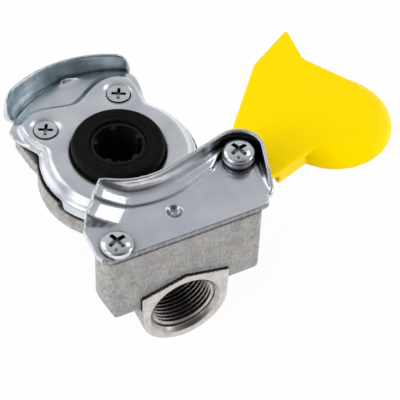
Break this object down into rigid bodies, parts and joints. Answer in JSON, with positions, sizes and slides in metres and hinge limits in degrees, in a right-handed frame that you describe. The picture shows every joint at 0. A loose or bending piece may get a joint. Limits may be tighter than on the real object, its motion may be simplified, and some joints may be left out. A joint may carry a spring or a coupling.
{
  "type": "air brake coupling head",
  "caption": "Palm-type air brake coupling head: cast elbow with a threaded port, sealed coupling disc with guide lip, claw plate and a swing-over dust cap.",
  "frame": {"origin": "on the axis of the threaded port, where the thread begins inside its entry chamfer", "axes": "-Y out of the port, +Z along the coupling axis out of the seal, +X along the block towards the cap's pivot"},
  "size_m": [0.1176, 0.0916, 0.0567],
  "materials": {
    "cast_alloy": "as cast, blasted, with a milled port face",
    "zinc_sheet": "pressed steel sheet, bright zinc plated",
    "zinc_screw": "bright zinc plated",
    "seal_rubber": "moulded, satin",
    "black_plastic": "moulded",
    "yellow_plastic": "moulded, glossy"
  },
  "bodies": {
    "head": {"housing": "cast_alloy", "disc_plate": "zinc_sheet", "guide_lip": "zinc_sheet", "seal_ring": "seal_rubber", "seal_support": "black_plastic", "sunk_screw_left": "zinc_screw", "sunk_screw_right": "zinc_screw", "claw_plate": "zinc_sheet", "claw_screw": "zinc_screw", "pivot_bush": "zinc_screw", "pivot_collar": "zinc_screw", "pivot_screw": "zinc_screw"},
    "cap": {"cap": "yellow_plastic"}
  },
  "joints": [
    {"name": "cap_swing", "type": "hinge", "parent": "head", "child": "cap", "pos_m": [0.0286, 0.0209, 0.03125], "axis": [0, 0, 1], "range_deg": [0, 126]}
  ]
}
